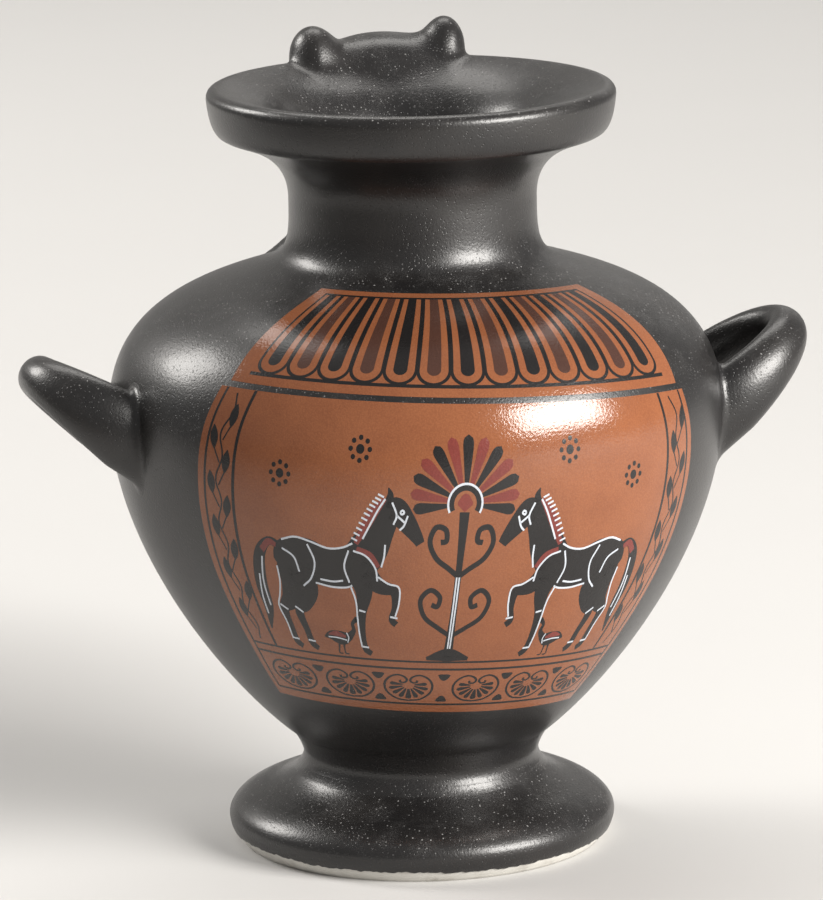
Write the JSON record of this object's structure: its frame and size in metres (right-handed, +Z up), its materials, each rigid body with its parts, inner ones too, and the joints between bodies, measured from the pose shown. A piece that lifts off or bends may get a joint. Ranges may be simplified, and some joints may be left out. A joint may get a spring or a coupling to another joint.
{
  "type": "three-handled water jar",
  "caption": "Small black-glazed pottery water jar with a spreading foot, full belly, dished mouth, tilted side loops and a strap handle at the back.",
  "frame": {"origin": "centre of the foot ring on the table", "axes": "+Z up along the turning axis, -Y towards the printed front, +Y towards the strap handle, +X towards the right loop handle"},
  "size_m": [0.1038, 0.08, 0.1046],
  "materials": {
    "black_glaze": "satin black glaze with fine dust specks",
    "printed_transfer": "glossy terracotta-coloured printed transfer with black, brown and white line work",
    "bare_biscuit": "matt unglazed white clay on the foot ring"
  },
  "bodies": {
    "root": {"foot": "black_glaze", "body": "black_glaze", "neck": "black_glaze", "mouth": "black_glaze", "left_handle": "black_glaze", "right_handle": "black_glaze", "back_handle": "black_glaze", "left_rotelle": "black_glaze", "right_rotelle": "black_glaze"}
  },
  "joints": []
}
